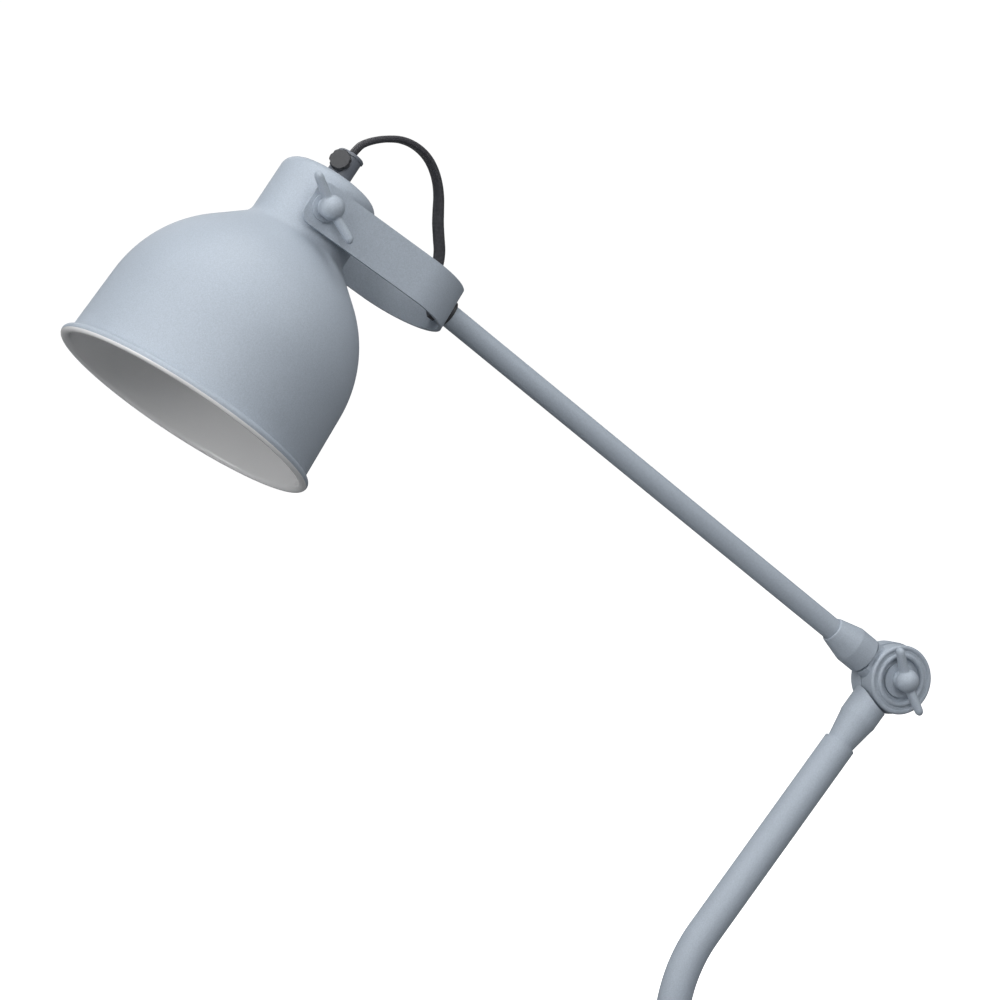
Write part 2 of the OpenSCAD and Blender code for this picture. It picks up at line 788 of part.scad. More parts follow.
// Flat section with round ends, eight corners
function section(w, t) = [
  for (a = [22.5 : 45 : 337.5]) [(w - t) / 2 * sign(cos(a)) + t / 2 * cos(a) / cos(22.5), t / 2 * sin(a) / cos(22.5)]
];
function flex_ring(c, k) =
  let (h = heading(c, k), side = [-h[1], h[0]], q = c[k][2])
  [
    for (p = section(flex_w, flex_t))
      let (across = p[0] * sin(q) + p[1] * cos(q), deep = p[0] * cos(q) - p[1] * sin(q))
      [elbow_x + c[k][0] + side[0] * across, deep, elbow_z + c[k][1] + side[1] * across]
  ];

module head_flex() {
  c = smooth(flex_points, 2);
  n = len(c);
  color(dark) polyhedron(
    points = [for (k = [0 : n - 1]) each flex_ring(c, k)],
    faces = concat(
      [[for (j = [7 : -1 : 0]) j]],
      [for (k = [0 : n - 2], j = [0 : 7]) let (a = k * 8, m = (j + 1) % 8) [a + j, a + m, a + 8 + m]],
      [for (k = [0 : n - 2], j = [0 : 7]) let (a = k * 8, m = (j + 1) % 8) [a + j, a + 8 + m, a + 8 + j]],
      [[for (j = [0 : 7]) (n - 1) * 8 + j]]
    )
  );
}

// ---------- wing nuts ----------

module elbow_wing_nut() {
  color(grey) outward(elbow_x, elbow_z, -1) translate([0, 0, elbow_seat])
    rotate([0, 0, 90 + elbow_wing_turn]) wing_nut(bolt_r + fit);
}

module head_wing_nut(side) {
  color(grey) outward(pivot_x, pivot_z, side) translate([0, 0, head_seat])
    rotate([0, 0, side < 0 ? 90 + head_wing_turn : -shade_aim]) wing_nut(stud_r + fit);
}

base_cover();
base_weight();
base_pad();
base_bush();
stem_collar();
stem_plug();
stem_washer();
stem_nut();
stem_tube();
stem_fitting();
elbow_bolt();
elbow_friction_washer();
stem_lead();
arm_fitting();
arm_ferrule();
arm_tube();
elbow_cup_washer();
yoke();
yoke_washer();
arm_nipple();
yoke_nut();
arm_bush();
arm_lead();
shade();
shade_neck();
pivot_spacer(-1);  // pivot_spacer_near
pivot_spacer(1);  // pivot_spacer_far
pivot_stud(-1);  // pivot_stud_near
pivot_stud(1);  // pivot_stud_far
pivot_washer(-1);  // pivot_washer_near
pivot_washer(1);  // pivot_washer_far
entry_nipple();
entry_nut();
cord_grip();
holder_cap();
holder_skirt();
holder_insert();
screw_shell();
centre_contact();
terminal_screws();
bulb_glass();
bulb_cap();
bulb_tip();
head_flex();
elbow_wing_nut();
head_wing_nut(-1);  // head_wing_nut_near
head_wing_nut(1);  // head_wing_nut_far
grip_screw();
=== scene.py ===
import json
import math

import bmesh
import bpy
from mathutils import Matrix, Vector


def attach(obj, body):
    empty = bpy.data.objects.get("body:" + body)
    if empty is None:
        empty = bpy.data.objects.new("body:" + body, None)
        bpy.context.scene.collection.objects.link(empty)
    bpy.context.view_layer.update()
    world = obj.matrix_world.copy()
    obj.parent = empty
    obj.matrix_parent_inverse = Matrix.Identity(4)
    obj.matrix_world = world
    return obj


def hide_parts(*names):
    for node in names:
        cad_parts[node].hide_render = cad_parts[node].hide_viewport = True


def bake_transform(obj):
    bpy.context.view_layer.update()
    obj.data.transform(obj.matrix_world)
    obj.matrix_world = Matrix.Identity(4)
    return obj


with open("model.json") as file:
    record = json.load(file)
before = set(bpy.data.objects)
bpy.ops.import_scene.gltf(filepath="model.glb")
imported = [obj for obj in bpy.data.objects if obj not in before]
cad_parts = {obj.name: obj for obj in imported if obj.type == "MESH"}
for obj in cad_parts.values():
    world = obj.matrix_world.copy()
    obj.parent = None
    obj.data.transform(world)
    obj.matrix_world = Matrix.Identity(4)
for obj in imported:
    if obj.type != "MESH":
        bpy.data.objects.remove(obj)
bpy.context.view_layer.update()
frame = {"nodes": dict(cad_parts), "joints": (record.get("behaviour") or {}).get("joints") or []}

MM = 0.001
NODES = frame["nodes"]
JOINTS = {joint["name"]: joint for joint in frame["joints"]}
ELBOW = Vector(JOINTS["elbow"]["pos_m"])
PIVOT = Vector(JOINTS["head_tilt"]["pos_m"])

# Directions of the arm and of the shade's axis in the XZ plane, in degrees from +X towards +Z
ARM_DIR = 143.0
SHADE_AIM = 54.2

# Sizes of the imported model, in millimetres
PIVOT_HEIGHT = 122.5
PIVOT_OFFSET = 7.4
NECK_TOP = 144
GRIP_TOP = 161.5
BUSH_FACE = 357.7


def plane_dir(degrees):
    a = math.radians(degrees)
    return Vector((math.cos(a), 0.0, math.sin(a)))


def along(point, degrees):
    """Frame at a point whose +Z runs along a direction of the XZ plane, with Y kept."""
    z = plane_dir(degrees)
    x = Vector((z.z, 0.0, -z.x))
    m = Matrix((x, Vector((0, 1, 0)), z)).transposed().to_4x4()
    m.translation = point
    return m


def outward(point, side):
    """Frame on a joint's axis whose +Z points away from the lamp: side -1 near, 1 far."""
    m = Matrix.Rotation(math.radians(-90 if side > 0 else 90), 4, "X")
    m.translation = point
    return m


# Frame of the shade: origin at the rim's centre, +Z towards the neck
SHADE_X = Vector((math.sin(math.radians(SHADE_AIM)), 0, -math.cos(math.radians(SHADE_AIM))))
RIM = PIVOT - PIVOT_HEIGHT * MM * plane_dir(SHADE_AIM) + PIVOT_OFFSET * MM * SHADE_X
ON_SHADE = along(RIM, SHADE_AIM)

# ---------- camera ----------

TARGET = Vector((-0.1043, 0, 0.393))
VIEW_AZIMUTH = math.radians(-25.5)
VIEW_ELEVATION = math.radians(4.0)
VIEW_DISTANCE = 2.09
SENSOR_WIDTH = 36
FOCAL_LENGTH = 140.7
back = Vector((
    math.sin(VIEW_AZIMUTH) * math.cos(VIEW_ELEVATION),
    -math.cos(VIEW_AZIMUTH) * math.cos(VIEW_ELEVATION),
    math.sin(VIEW_ELEVATION),
))
camera_data = bpy.data.cameras.new("camera")
camera_data.sensor_width = SENSOR_WIDTH
camera_data.lens = FOCAL_LENGTH
camera_data.clip_end = 50
camera = bpy.data.objects.new("camera", camera_data)
bpy.context.scene.collection.objects.link(camera)
camera.location = TARGET + VIEW_DISTANCE * back
camera.rotation_euler = (-back).to_track_quat("-Z", "Y").to_euler()
bpy.context.scene.camera = camera
bpy.context.scene.view_settings.view_transform = "Standard"

# ---------- node materials ----------


class Nodes:
    """Short way to lay out a material's nodes."""

    def __init__(self, name):
        self.mat = bpy.data.materials.new(name)
        self.mat.use_nodes = True
        self.tree = self.mat.node_tree
        self.shader = self.tree.nodes["Principled BSDF"]

    def node(self, kind, inputs=None, **settings):
        n = self.tree.nodes.new(kind)
        for key, value in settings.items():
            setattr(n, key, value)
        for key, value in (inputs or {}).items():
            if isinstance(value, bpy.types.NodeSocket):
                self.tree.links.new(value, n.inputs[key])
            else:
                n.inputs[key].default_value = value
        return n

    def set(self, **inputs):
        for key, value in inputs.items():
            socket = self.shader.inputs[key.replace("_", " ")]
            if isinstance(value, bpy.types.NodeSocket):
                self.tree.links.new(value, socket)
            else:
                socket.default_value = value
        return self

    def place(self):
        return self.node("ShaderNodeTexCoord").outputs["Object"]

    def noise(self, scale, detail=2.0, rough=0.5, vector=None):
        n = self.node(
            "ShaderNodeTexNoise",
            {"Vector": vector or self.place(), "Scale": scale, "Detail": detail, "Roughness": rough},
        )
        return n.outputs["Fac"]

    def ramp(self, fac, stops):
        n = self.node("ShaderNodeValToRGB", {"Fac": fac})
        while len(n.color_ramp.elements) < len(stops):
            n.color_ramp.elements.new(0.5)
        for element, (where, colour) in zip(n.color_ramp.elements, stops):
            element.position = where
            element.color = (*colour, 1)
        return n.outputs["Color"]

    def span(self, fac, low, high, start=0.0, end=1.0):
        n = self.node(
            "ShaderNodeMapRange",
            {"Value": fac, "From Min": start, "From Max": end, "To Min": low, "To Max": high},
        )
        return n.outputs["Result"]

    def bump(self, height, strength, distance, normal=None):
        inputs = {"Height": height, "Strength": strength, "Distance": distance}
        if normal:
            inputs["Normal"] = normal
        return self.node("ShaderNodeBump", inputs).outputs["Normal"]


def tint(colour, share):
    return tuple(min(1.0, c * share) for c in colour)


COAT = (0.385, 0.435, 0.497)


def powder_coat():
    """Blue-grey satin coat: fine orange peel and specks."""
    m = Nodes("powder_coat")
    broad = m.noise(14, 3)
    speck = m.noise(1500, 2, 0.6)
    colour = m.ramp(broad, [(0.30, tint(COAT, 0.965)), (0.72, tint(COAT, 1.03))])
    grain = m.ramp(speck, [(0.35, (0.90, 0.90, 0.90)), (0.68, (1.06, 1.06, 1.06))])
    mixed = m.node("ShaderNodeMix", data_type="RGBA", blend_type="MULTIPLY")
    mixed.inputs["Factor"].default_value = 1.0
    m.tree.links.new(colour, mixed.inputs["A"])
    m.tree.links.new(grain, mixed.inputs["B"])
    fine = m.bump(speck, 0.32, 0.00012)
    peel = m.bump(m.noise(330, 2), 0.22, 0.0003, fine)
    m.set(
        Base_Color=mixed.outputs["Result"], Roughness=m.span(speck, 0.46, 0.62, 0.3, 0.7), Normal=peel,
        Specular_IOR_Level=0.42,
    )
    return m.mat


def white_enamel():
    m = Nodes("white_enamel")
    colour = m.ramp(m.noise(18, 3), [(0.3, (0.86, 0.862, 0.868)), (0.7, (0.90, 0.902, 0.906))])
    m.set(
        Base_Color=colour, Roughness=m.span(m.noise(240, 2), 0.16, 0.25, 0.3, 0.7),
        Normal=m.bump(m.noise(190, 2), 0.12, 0.0004), Coat_Weight=0.35, Coat_Roughness=0.08,
    )
    return m.mat


def plastic(name, colour, rough, scale=900.0):
    m = Nodes(name)
    base = m.ramp(m.noise(60, 3), [(0.3, tint(colour, 0.85)), (0.7, tint(colour, 1.15))])
    grain = m.noise(scale, 2)
    m.set(
        Base_Color=base, Roughness=m.span(grain, rough - 0.06, rough + 0.08, 0.3, 0.7),
        Normal=m.bump(grain, 0.25, 0.0001),
    )
    return m.mat


def metal(name, colour, rough, stretch=(1, 1, 1)):
    """Drawn or plated metal: fine lines by a stretched noise, faint stains."""
    m = Nodes(name)
    mapping = m.node("ShaderNodeMapping", {"Vector": m.place(), "Scale": stretch})
    lines = m.noise(1400, 3, 0.6, mapping.outputs["Vector"])
    stain = m.ramp(m.noise(120, 3), [(0.3, tint(colour, 0.82)), (0.7, tint(colour, 1.08))])
    m.set(
        Base_Color=stain, Metallic=1.0, Roughness=m.span(lines, rough - 0.08, rough + 0.12, 0.3, 0.7),
        Normal=m.bump(lines, 0.15, 0.00005),
    )
    return m.mat


BRAID_PITCH = 1.35


def braided():
    """Black textile braid on the flat flex, laid by the piece's own u and v in millimetres."""
    m = Nodes("braided_flex")
    uv = m.node("ShaderNodeUVMap", uv_map="braid").outputs["UV"]
    split = m.node("ShaderNodeSeparateXYZ", {"Vector": uv})
    waves = []
    for sign in (1.0, -1.0):
        slant = m.node("ShaderNodeMath", {0: split.outputs["X"], 1: sign}, operation="MULTIPLY")
        total = m.node("ShaderNodeMath", {0: slant.outputs[0], 1: split.outputs["Y"]}, operation="ADD")
        turn = m.node(
            "ShaderNodeMath", {0: total.outputs[0], 1: 2 * math.pi / BRAID_PITCH}, operation="MULTIPLY",
        )
        waves.append(m.node("ShaderNodeMath", {0: turn.outputs[0]}, operation="SINE").outputs[0])
    product = m.node("ShaderNodeMath", {0: waves[0], 1: waves[1]}, operation="MULTIPLY").outputs[0]
    height = m.span(product, 0.0, 1.0, -1.0, 1.0)
    fibres = m.noise(2600, 2)
    # colour follows the braid's height: painted shade in the hollows, darkest there, and a painted highlight
    # on the crests, lighter and bluish
    colour = m.ramp(height, [
        (0.25, (0.007, 0.007, 0.010)), (0.62, (0.020, 0.020, 0.026)), (0.95, (0.055, 0.056, 0.072)),
    ])
    m.set(
        Base_Color=colour, Roughness=m.span(fibres, 0.42, 0.6, 0.3, 0.7),
        Normal=m.bump(height, 0.6, 0.0003, m.bump(fibres, 0.3, 0.0001)),
        Sheen_Weight=0.25, Sheen_Roughness=0.4,
    )
    return m.mat


def opal():
    m = Nodes("opal_glass")
    colour = m.ramp(m.noise(30, 2), [(0.3, (0.86, 0.86, 0.84)), (0.7, (0.90, 0.90, 0.885))])
    m.set(
        Base_Color=colour, Roughness=m.span(m.noise(200, 2), 0.10, 0.16, 0.3, 0.7),
        Normal=m.bump(m.noise(90, 1), 0.05, 0.0004), Coat_Weight=0.6, Coat_Roughness=0.04,
        Subsurface_Weight=0.3, Subsurface_Scale=0.01,
    )
    return m.mat


def cast_iron():
    m = Nodes("cast_iron")
    rough = m.noise(420, 4, 0.65)
    colour = m.ramp(rough, [(0.3, (0.025, 0.025, 0.026)), (0.75, (0.075, 0.073, 0.07))])
    m.set(Base_Color=colour, Roughness=m.span(rough, 0.6, 0.85, 0.3, 0.7), Normal=m.bump(rough, 0.6, 0.0006))
    return m.mat


def foam():
    m = Nodes("foam_pad")
    cells = m.node("ShaderNodeTexVoronoi", {"Vector": m.place(), "Scale": 900.0}).outputs["Distance"]
    colour = m.ramp(cells, [(0.1, (0.012, 0.012, 0.012)), (0.8, (0.035, 0.035, 0.035))])
    m.set(Base_Color=colour, Roughness=0.9, Normal=m.bump(cells, 0.5, 0.0003))
    return m.mat


POWDER = powder_coat()
ENAMEL = white_enamel()
BLACK = plastic("black_plastic", (0.030, 0.031, 0.035), 0.42)
GRIP = plastic("grip_plastic", (0.150, 0.163, 0.190), 0.38)
FIBRE = plastic("pressed_fibre", (0.10, 0.062, 0.04), 0.85, 500.0)
HOLDER = plastic("holder_white", (0.74, 0.74, 0.72), 0.28, 400.0)
ZINC = metal("zinc_plate", (0.62, 0.62, 0.63), 0.34)
DARK_STEEL = metal("dark_steel", (0.10, 0.10, 0.105), 0.42)
BRASS = metal("brass", (0.72, 0.52, 0.22), 0.28)
TIN = metal("bulb_metal", (0.74, 0.74, 0.75), 0.25, (1, 1, 8))
BRAID = braided()
OPAL = opal()
IRON = cast_iron()
FOAM = foam()

CAD_LOOKS = {
    "base_weight": IRON, "base_pad": FOAM, "base_bush": BLACK, "stem_plug": ZINC, "stem_washer": ZINC,
    "stem_nut": ZINC, "elbow_bolt": ZINC, "elbow_friction_washer": FIBRE, "stem_lead": BRAID,
    "yoke_washer": BLACK, "arm_nipple": ZINC, "yoke_nut": DARK_STEEL,
    "arm_bush": BLACK, "arm_lead": BRAID, "pivot_stud_near": ZINC, "pivot_stud_far": ZINC,
    "entry_nipple": ZINC, "entry_nut": ZINC,
    "cord_grip": GRIP, "grip_screw": BLACK, "holder_cap": HOLDER, "holder_skirt": HOLDER,
    "holder_insert": HOLDER, "screw_shell": BRASS, "centre_contact": BRASS, "terminal_screws": BRASS,
    "bulb_glass": OPAL, "bulb_cap": TIN, "bulb_tip": TIN,
}
for node_name, node_object in NODES.items():
    look = CAD_LOOKS.get(node_name, POWDER)
    if not node_object.data.materials:
        node_object.data.materials.append(look)
    for material_slot in node_object.material_slots:
        material_slot.material = look

# ---------- mesh helpers ----------


def finish_mesh(name, mesh, material, body, sharp=40.0):
    """Object from a mesh in the row frame: smooth faces with edges sharper than an angle kept."""
    piece = bpy.data.objects.new(name, mesh)
    bpy.context.scene.collection.objects.link(piece)
    for item in material if isinstance(material, (list, tuple)) else [material]:
        mesh.materials.append(item)
    for polygon in mesh.polygons:
        polygon.use_smooth = True
    if sharp:
        mesh.set_sharp_from_angle(angle=math.radians(sharp))
    if body:
        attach(piece, body)
    return piece


def lathe(name, outline, place, material, body, segments=128, slots=None, sharp=40.0):
    """Revolved piece from a closed outline in millimetres, [r, z]; slots picks a material for each side."""
    bm = bmesh.new()
    rings = []
    for r, z in outline:
        if r < 1e-4:
            rings.append([bm.verts.new((0, 0, z * MM))])
            continue
        turns = [2 * math.pi * s / segments for s in range(segments)]
        rings.append([bm.verts.new((r * MM * math.cos(a), r * MM * math.sin(a), z * MM)) for a in turns])
    n = len(rings)
    for k in range(n):
        a, b = rings[k], rings[(k + 1) % n]
        if len(a) == 1 and len(b) == 1:
            continue
        for s in range(segments):
            t = (s + 1) % segments
            corners = [a[s % len(a)], a[t % len(a)], b[t % len(b)], b[s % len(b)]]
            unique = list(dict.fromkeys(corners))
            face = bm.faces.new(unique)
            if slots:
                face.material_index = slots[k]
    bmesh.ops.recalc_face_normals(bm, faces=bm.faces)
    bm.transform(place)
    mesh = bpy.data.meshes.new(name)
    bm.to_mesh(mesh)
    bm.free()
    return finish_mesh(name, mesh, material, body, sharp)


# Points closer than this, in metres, are one; faces that meet within this angle are flat
MERGE = 2e-6
FLAT_ANGLE = 0.4


def refine(node, body, material, edge, angle=28.0, segments=3):
    """Copy of a CAD node with its sharp edges rounded, which stands for the node."""
    bm = bmesh.new()
    bm.from_mesh(NODES[node].data)
    bmesh.ops.remove_doubles(bm, verts=bm.verts, dist=MERGE)
    bmesh.ops.dissolve_degenerate(bm, dist=MERGE, edges=bm.edges)
    bmesh.ops.dissolve_limit(
        bm, angle_limit=math.radians(FLAT_ANGLE), verts=bm.verts, edges=bm.edges,
        use_dissolve_boundaries=False,
    )
    limit = math.radians(angle)
    edges = [e for e in bm.edges if len(e.link_faces) == 2 and e.calc_face_angle(0) > limit]
    bmesh.ops.bevel(
        bm, geom=edges, offset=edge * MM, offset_type="OFFSET", segments=segments, profile=0.5,
        affect="EDGES", clamp_overlap=True,
    )
    mesh = bpy.data.meshes.new(node + "_look")
    bm.to_mesh(mesh)
    bm.free()
    piece = finish_mesh(node + "_look", mesh, material, body, 45.0)
    weighted = piece.modifiers.new("weighted_normals", "WEIGHTED_NORMAL")
    weighted.keep_sharp = True
    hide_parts(node)
    return piece


# ---------- the free flex ----------

FLEX_WIDTH = 6.3
FLEX_THICK = 3.9
FLEX_END_TWIST = -84
# Centreline from the grip's top face into the arm's bush, from the elbow's axis: x, z, twist in degrees
FLEX_ROUTE = [
    (-328.2, 293.3, 0), (-324.8, 296.2, 0), (-320.2, 298.0, 0), (-314.4, 299.2, 0),
    (-308.4, 299.6, 0), (-302.4, 299.2, -2), (-296.2, 297.2, -4), (-290.8, 293.8, -7),
    (-286.4, 289.2, -10), (-283.2, 283.4, -13), (-281.2, 276.8, -17), (-280.4, 269.8, -26),
    (-280.6, 262.6, -42), (-280.8, 255.4, -56), (-280.4, 248.0, -64), (-280.0, 240.6, -70),
    (-281.2, 233.6, -76), (-284.6, 227.8, -80), (-288.4, 222.6, -84),
]
FLEX_EXIT = RIM + GRIP_TOP * MM * plane_dir(SHADE_AIM)
FLEX_END = ELBOW + BUSH_FACE * MM * plane_dir(ARM_DIR)


def flex_points(steps):
    """Catmull-Rom curve through the route: list of (point, twist in radians)."""
    knots = [Vector((FLEX_EXIT.x - ELBOW.x, FLEX_EXIT.z - ELBOW.z, 0))]
    knots += [Vector((x * MM, z * MM, math.radians(q))) for x, z, q in FLEX_ROUTE]
    knots += [Vector((FLEX_END.x - ELBOW.x, FLEX_END.z - ELBOW.z, math.radians(FLEX_END_TWIST)))]
    out = []
    last = len(knots) - 1
    for k in range(last):
        a, b, c, d = (knots[min(max(j, 0), last)] for j in (k - 1, k, k + 1, k + 2))
        for s in range(steps):
            t = s / steps
            out.append(0.5 * (
                2 * b + (c - a) * t + (2 * a - 5 * b + 4 * c - d) * t * t + (3 * b - a - 3 * c + d) * t ** 3
            ))
    out.append(knots[last])
    return [(Vector((ELBOW.x + p.x, 0, ELBOW.z + p.y)), p.z) for p in out]


def flex_section(count):
    """Flat two-core section in millimetres: two round cores with a shallow waist between them."""
    out = []
    for k in range(count):
        a = 2 * math.pi * k / count
        c, s = math.cos(a), math.sin(a)
        wide = FLEX_WIDTH / 2 * math.copysign(abs(c) ** 0.82, c)
        thick = FLEX_THICK / 2 * math.copysign(abs(s) ** 0.72, s)
        waist = 1 - 0.10 * math.exp(-((wide / 0.9) ** 2))
        out.append((wide, thick * waist))
    return out


def make_flex():
    centre = flex_points(8)
    section = flex_section(40)
    girth = [0.0]
    for k in range(len(section)):
        a, b = section[k], section[(k + 1) % len(section)]
        girth.append(girth[-1] + math.hypot(b[0] - a[0], b[1] - a[1]))
    run = [0.0]
    for (p, _), (q, _) in zip(centre, centre[1:]):
        run.append(run[-1] + (q - p).length / MM)
    bm = bmesh.new()
    uv = bm.loops.layers.uv.new("braid")
    rings = []
    for k, (p, twist) in enumerate(centre):
        ahead = centre[min(k + 1, len(centre) - 1)][0] - centre[max(k - 1, 0)][0]
        if k == 0:
            ahead = plane_dir(SHADE_AIM)
        if k == len(centre) - 1:
            ahead = -plane_dir(ARM_DIR)
        ahead.normalize()
        side = Vector((-ahead.z, 0, ahead.x))
        depth = Vector((0, 1, 0))
        ring = []
        for w, t in section:
            across = w * math.sin(twist) + t * math.cos(twist)
            deep = w * math.cos(twist) - t * math.sin(twist)
            ring.append(bm.verts.new(p + MM * (side * across + depth * deep)))
        rings.append(ring)
    n = len(section)
    for k in range(len(rings) - 1):
        for s in range(n):
            t = (s + 1) % n
            face = bm.faces.new((rings[k][s], rings[k][t], rings[k + 1][t], rings[k + 1][s]))
            marks = (
                (girth[s], run[k]), (girth[s + 1], run[k]),
                (girth[s + 1], run[k + 1]), (girth[s], run[k + 1]),
            )
            for loop, mark in zip(face.loops, marks):
                loop[uv].uv = mark
    for ring in (rings[0], rings[-1]):
        bm.faces.new(ring)
    bmesh.ops.recalc_face_normals(bm, faces=bm.faces)
    mesh = bpy.data.meshes.new("head_flex_braided")
    bm.to_mesh(mesh)
    bm.free()
    piece = finish_mesh("head_flex_braided", mesh, BRAID, None, 60.0)
    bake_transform(piece)
    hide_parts("head_flex")
    return piece


make_flex()

# ---------- shade ----------


def arc(cx, cz, r, a0, a1, steps):
    return [
        (cx + r * math.cos(math.radians(a0 + (a1 - a0) * k / steps)),
         cz + r * math.sin(math.radians(a0 + (a1 - a0) * k / steps)))
        for k in range(steps + 1)
    ]


# Shade profile in millimetres and degrees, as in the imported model
SHEET = 1.0
WALL_R, WALL_LEAN, WALL_START = 71.4, 2.5, 3.6
SHOULDER_Z, SHOULDER_R = 41, 72
CONE_LEAN = 49.0
NECK_R, FILLET_R, CORNER_R = 28.2, 8, 7
TOP_HOLE_R = 5.1
BEAD_X, BEAD_Z, BEAD_R = 72.5, 0.8, 2.5
# Turn round the bead where the enamel starts, where it meets the coat, and where the wall starts
BEAD_TURNS = (178, 338, 475)


def shade_outline():
    """Rolled rim, outer line up to the top hole and inner line back down; and each side's slot."""
    tan_lean = math.tan(math.radians(WALL_LEAN))
    cone = math.radians(CONE_LEAN)
    shoulder_x = WALL_R - SHOULDER_Z * tan_lean - SHOULDER_R * math.cos(math.radians(WALL_LEAN))
    shoulder_z = SHOULDER_Z - SHOULDER_R * math.sin(math.radians(WALL_LEAN))
    fillet_x = NECK_R + FILLET_R
    cone_top_r = NECK_R + FILLET_R * (1 - math.cos(cone))
    foot_r = shoulder_x + SHOULDER_R * math.cos(cone)
    foot_z = shoulder_z + SHOULDER_R * math.sin(cone)
    fillet_z = foot_z + (foot_r - cone_top_r) / math.tan(cone) + FILLET_R * math.sin(cone)

    def wall(inset):
        line = [(WALL_R - inset - z * tan_lean, z) for z in (WALL_START, 12, 22, 32)]
        line += arc(shoulder_x, shoulder_z, SHOULDER_R - inset, WALL_LEAN, CONE_LEAN, 22)
        line += arc(fillet_x, fillet_z, FILLET_R + inset, 180 + CONE_LEAN, 180, 9)
        line += arc(NECK_R - CORNER_R, NECK_TOP - CORNER_R, CORNER_R - inset, 0, 90, 8)
        line += [(14, NECK_TOP - inset), (TOP_HOLE_R, NECK_TOP - inset)]
        return line

    outer = wall(0)
    inner = wall(SHEET)[::-1]
    # rolled bead: white from the inside round to its lower outer edge, and grey from there up
    white = arc(BEAD_X, BEAD_Z, BEAD_R, BEAD_TURNS[0], BEAD_TURNS[1], 18)
    grey = arc(BEAD_X, BEAD_Z, BEAD_R, BEAD_TURNS[1], BEAD_TURNS[2], 16)[1:]
    line = white + grey + outer + inner
    slots = [1] * (len(white) - 1) + [0] * (len(grey) + len(outer)) + [1] * (len(inner) + 1)
    return line, slots


shade_line, shade_slots = shade_outline()
shade_piece = lathe(
    "shade_shell", shade_line, ON_SHADE, [POWDER, ENAMEL], "head",
    segments=192, slots=shade_slots, sharp=50.0,
)
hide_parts("shade", "shade_neck")

# ---------- castings, strap and tubes ----------

# Node, body, material and edge radius in millimetres
for node_name, owner, look, edge in (
    ("yoke", "arm", POWDER, 0.45),
    ("arm_fitting", "arm", POWDER, 0.3),
    ("arm_ferrule", "arm", POWDER, 0.3),
    ("stem_fitting", "stand", POWDER, 0.3),
    ("stem_collar", "stand", POWDER, 0.4),
    ("base_cover", "stand", POWDER, 0.4),
    ("cord_grip", "head", GRIP, 0.25),
    ("grip_screw", "grip_knob", BLACK, 0.25),
    ("elbow_bolt", "stand", ZINC, 0.4),
    ("holder_cap", "head", HOLDER, 0.6),
    ("holder_skirt", "head", HOLDER, 0.4),
):
    refine(node_name, owner, look, edge)

# ---------- wing nuts ----------


FOOT_R, FOOT_TOP_R, FOOT_H = 5.4, 5.2, 7
BALL_R, BALL_Z = 6.6, 7.2
# A wing's middle line, half height and half thickness, from the hub to the tip
WING_X = (4.6, 17.6)
WING_Z = (6.6, 9.4)
WING_TALL = (3.9, 3.15)
WING_THICK = (2.5, 2.25)
WING_STEPS = 40
VOXEL = 0.36


def wing_nut_mesh():
    """Cast wing nut with its seat at z = 0: primitives in millimetres, fused by a remesh and smoothed."""
    bm = bmesh.new()
    bmesh.ops.create_cone(
        bm, cap_ends=True, segments=48, radius1=FOOT_R, radius2=FOOT_TOP_R, depth=FOOT_H,
        matrix=Matrix.Translation((0, 0, FOOT_H / 2)),
    )
    bmesh.ops.create_uvsphere(
        bm, u_segments=40, v_segments=24, radius=BALL_R, matrix=Matrix.Translation((0, 0, BALL_Z)),
    )
    # a wing is a row of flattened discs from the hub out to its round tip
    for side in (1, -1):
        for k in range(WING_STEPS + 1):
            x, z, tall, thick = (
                low + (high - low) * k / WING_STEPS for low, high in (WING_X, WING_Z, WING_TALL, WING_THICK)
            )
            place = Matrix.Translation((side * x, 0, z)) @ Matrix.Diagonal((tall, thick, tall, 1))
            bmesh.ops.create_uvsphere(bm, u_segments=20, v_segments=12, radius=1.0, matrix=place)
    mesh = bpy.data.meshes.new("wing_nut")
    bm.to_mesh(mesh)
    bm.free()
    rough = bpy.data.objects.new("wing_nut_rough", mesh)
    bpy.context.scene.collection.objects.link(rough)
    remesh = rough.modifiers.new("remesh", "REMESH")
    remesh.mode = "VOXEL"
    remesh.voxel_size = VOXEL
    smooth = rough.modifiers.new("smooth", "SMOOTH")
    smooth.factor = 0.5
    smooth.iterations = 8
    done = bpy.data.meshes.new_from_object(rough.evaluated_get(bpy.context.evaluated_depsgraph_get()))
    bpy.data.objects.remove(rough)
    done.transform(Matrix.Scale(MM, 4))
    return done


# Seats of the wing nuts from the middle of the lamp, and their turns
ELBOW_SEAT = 9.9
HEAD_SEAT = 34.3
nut_mesh = wing_nut_mesh()
for node_name, owner, point, side, seat, turn in (
    ("elbow_wing_nut", "elbow_knob", ELBOW, -1, ELBOW_SEAT, 110),
    ("head_wing_nut_near", "head_knob_near", PIVOT, -1, HEAD_SEAT, 117),
    ("head_wing_nut_far", "head_knob_far", PIVOT, 1, HEAD_SEAT, -SHADE_AIM),
):
    mesh = nut_mesh.copy()
    place = outward(point, side) @ Matrix.Translation((0, 0, seat * MM))
    mesh.transform(place @ Matrix.Rotation(math.radians(turn), 4, "Z"))
    nut = finish_mesh(node_name + "_cast", mesh, POWDER, owner, None)
    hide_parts(node_name)

# ---------- floor, backdrop and light ----------


def emitter(name, colour, strength):
    material = bpy.data.materials.new(name)
    material.use_nodes = True
    tree = material.node_tree
    tree.nodes.clear()
    glow = tree.nodes.new("ShaderNodeEmission")
    glow.inputs["Color"].default_value = (*colour, 1)
    glow.inputs["Strength"].default_value = strength
    out = tree.nodes.new("ShaderNodeOutputMaterial")
    tree.links.new(glow.outputs[0], out.inputs["Surface"])
    return material


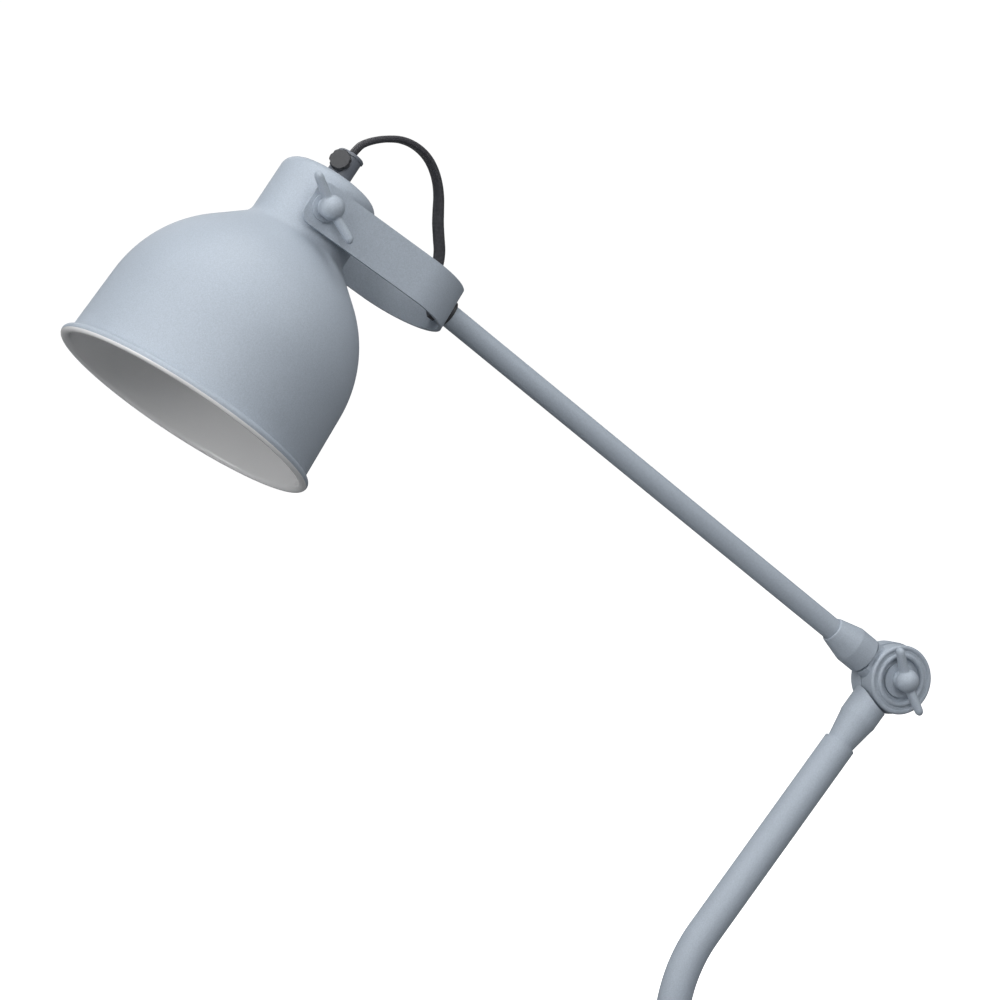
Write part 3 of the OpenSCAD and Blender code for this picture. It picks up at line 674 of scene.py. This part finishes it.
bpy.ops.mesh.primitive_uv_sphere_add(radius=18, segments=64, ring_count=32, location=(0, 0, 0))
dome = bpy.context.object
dome.name = "backdrop"
dome.data.materials.append(emitter("backdrop_white", (1, 1, 1), 1.03))

bpy.ops.mesh.primitive_plane_add(size=16, location=(0, 0, -0.0003))
floor = bpy.context.object
floor.name = "floor"
floor_nodes = Nodes("pale_floor")
# brighter away from the lamp, so that the floor meets the backdrop without a line
away = floor_nodes.node("ShaderNodeVectorMath", {0: floor_nodes.place()}, operation="LENGTH").outputs["Value"]
floor_nodes.set(
    Base_Color=floor_nodes.ramp(
        floor_nodes.noise(3, 2), [(0.3, (0.80, 0.80, 0.80)), (0.7, (0.83, 0.83, 0.83))],
    ),
    Roughness=0.9, Emission_Color=(1, 1, 1, 1),
    Emission_Strength=floor_nodes.span(away, 0.66, 1.02, 0.2, 0.9),
)
floor.data.materials.append(floor_nodes.mat)
for backdrop in (dome, floor):
    backdrop.visible_diffuse = False
    backdrop.visible_glossy = False
    backdrop.visible_transmission = False
dome.visible_shadow = False

world = bpy.data.worlds.new("studio")
bpy.context.scene.world = world
world.use_nodes = True
sky = world.node_tree.nodes["Background"]
sky.inputs["Color"].default_value = (0.95, 0.97, 1.0, 1)
# light that a pale table throws back from below, and little from above
heading = world.node_tree.nodes.new("ShaderNodeTexCoord").outputs["Generated"]
height = world.node_tree.nodes.new("ShaderNodeSeparateXYZ")
world.node_tree.links.new(heading, height.inputs[0])
fade = world.node_tree.nodes.new("ShaderNodeMapRange")
world.node_tree.links.new(height.outputs["Z"], fade.inputs["Value"])
for socket_name, value in (("From Min", -0.25), ("From Max", 0.25), ("To Min", 0.19), ("To Max", 0.05)):
    fade.inputs[socket_name].default_value = value
world.node_tree.links.new(fade.outputs["Result"], sky.inputs["Strength"])


SOFT_BOX = 1.4
LAMP_MIDDLE = Vector((-0.1, 0, 0.38))
for name, place, power in (
    ("key", (-2.2, -1.5, 2.0), 27),
    ("front", (-0.7, -2.6, 1.5), 27),
    ("top", (0.0, -0.3, 2.8), 27),
    ("right_front", (1.6, -1.9, 2.2), 21),
    ("left", (-2.8, -0.5, 0.7), 18),
    ("top_left", (-1.7, -0.1, 2.5), 17),
    ("back", (0.2, 2.4, 1.8), 7),
):
    light = bpy.data.lights.new(name, "AREA")
    light.shape = "RECTANGLE"
    light.size = light.size_y = SOFT_BOX
    light.energy = power
    lamp = bpy.data.objects.new(name, light)
    bpy.context.scene.collection.objects.link(lamp)
    lamp.location = place
    lamp.rotation_euler = (Vector(place) - LAMP_MIDDLE).to_track_quat("Z", "Y").to_euler()
